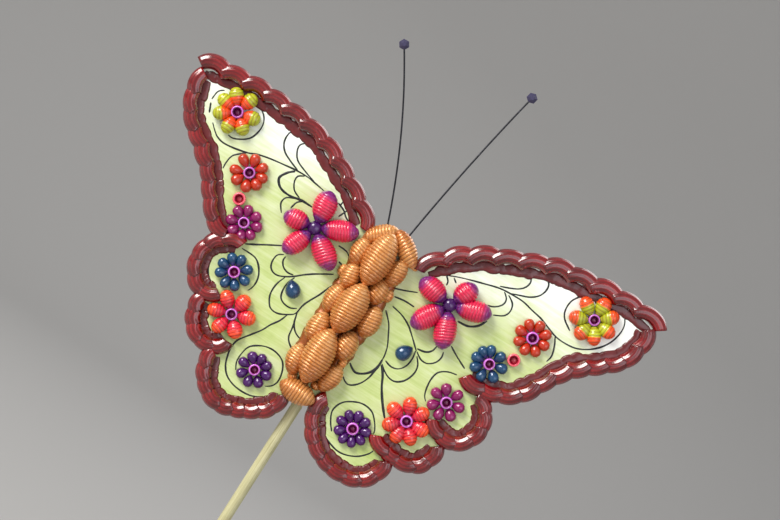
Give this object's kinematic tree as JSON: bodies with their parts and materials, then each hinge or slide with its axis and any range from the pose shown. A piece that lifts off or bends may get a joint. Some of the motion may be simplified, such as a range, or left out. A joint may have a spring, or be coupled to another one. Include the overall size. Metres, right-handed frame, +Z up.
{
  "type": "butterfly on a stick",
  "caption": "Handmade butterfly ornament on a wooden stick, with beaded body, painted card wings, flower trim, scalloped edging and springy wire antennae.",
  "frame": {"origin": "centre of the stick's lower end", "axes": "+Z up along the stick, -Y out of the decorated front face, +X to the right of a viewer in front"},
  "size_m": [0.2317, 0.0214, 0.3933],
  "materials": {
    "stick_wood": "sanded, bare",
    "hot_glue": "translucent hot-melt glue",
    "painted_card": "pearly brushed paint with black ink lines",
    "red_lacquer": "glossy lacquer over ribbed shells",
    "lime_paint": "glossy paint, orange towards the ring",
    "orange_paint": "glossy paint",
    "magenta_paint": "glossy pearl paint",
    "blue_paint": "glossy pearl paint",
    "crimson_paint": "glossy paint, orange towards the tips",
    "violet_paint": "glossy pearl paint",
    "lilac_paint": "glossy paint, dark magenta inside",
    "crimson_violet_paint": "glossy paint, violet at the ends",
    "red_ring_paint": "glossy paint",
    "gold_paint": "pearly copper-gold paint over ribs",
    "dark_wire": "dark coated wire",
    "tip_paint": "glossy grey-violet paint"
  },
  "bodies": {
    "root": {"stick": "stick_wood", "stick_glue": "hot_glue", "left_wing_panel": "painted_card", "left_top_edging": "red_lacquer", "left_outer_edging": "red_lacquer", "left_lobe_1_edging": "red_lacquer", "left_lobe_2_edging": "red_lacquer", "left_lobe_3_edging": "red_lacquer", "left_lime_flower": "lime_paint", "left_orange_flower": "orange_paint", "left_magenta_flower": "magenta_paint", "left_blue_flower": "blue_paint", "left_crimson_flower": "crimson_paint", "left_violet_flower": "violet_paint", "left_flower_rings": "lilac_paint", "left_big_flower_centre": "violet_paint", "left_big_flower": "crimson_violet_paint", "left_loose_ring": "red_ring_paint", "left_drop": "blue_paint", "left_bead_1": "gold_paint", "left_bead_2": "gold_paint", "left_bead_3": "gold_paint", "left_bead_4": "gold_paint", "left_bead_5": "gold_paint", "left_head_bead": "gold_paint", "right_wing_panel": "painted_card", "right_top_edging": "red_lacquer", "right_outer_edging": "red_lacquer", "right_lobe_1_edging": "red_lacquer", "right_lobe_2_edging": "red_lacquer", "right_lobe_3_edging": "red_lacquer", "right_lime_flower": "lime_paint", "right_orange_flower": "orange_paint", "right_magenta_flower": "magenta_paint", "right_blue_flower": "blue_paint", "right_crimson_flower": "crimson_paint", "right_violet_flower": "violet_paint", "right_flower_rings": "lilac_paint", "right_big_flower_centre": "violet_paint", "right_big_flower": "crimson_violet_paint", "right_loose_ring": "red_ring_paint", "right_drop": "blue_paint", "right_bead_1": "gold_paint", "right_bead_2": "gold_paint", "right_bead_3": "gold_paint", "right_bead_4": "gold_paint", "right_bead_5": "gold_paint", "right_head_bead": "gold_paint", "tail_bead": "gold_paint", "gap_beads": "gold_paint", "upper_centre_bead": "gold_paint", "middle_centre_bead": "gold_paint", "lower_centre_bead": "gold_paint"},
    "left_antenna": {"left_antenna_wire": "dark_wire", "left_antenna_tip": "tip_paint"},
    "right_antenna": {"right_antenna_wire": "dark_wire", "right_antenna_tip": "tip_paint"}
  },
  "joints": [
    {"name": "left_antenna_flex", "type": "hinge", "parent": "root", "child": "left_antenna", "pos_m": [-0.00892, -0.0054, 0.30989], "axis": [0, 1, 0], "range_deg": [-15, 15], "stiffness_Nm_per_rad": 0.1},
    {"name": "right_antenna_flex", "type": "hinge", "parent": "root", "child": "right_antenna", "pos_m": [0.00166, -0.0054, 0.31088], "axis": [0, 1, 0], "range_deg": [-15, 15], "stiffness_Nm_per_rad": 0.1}
  ]
}
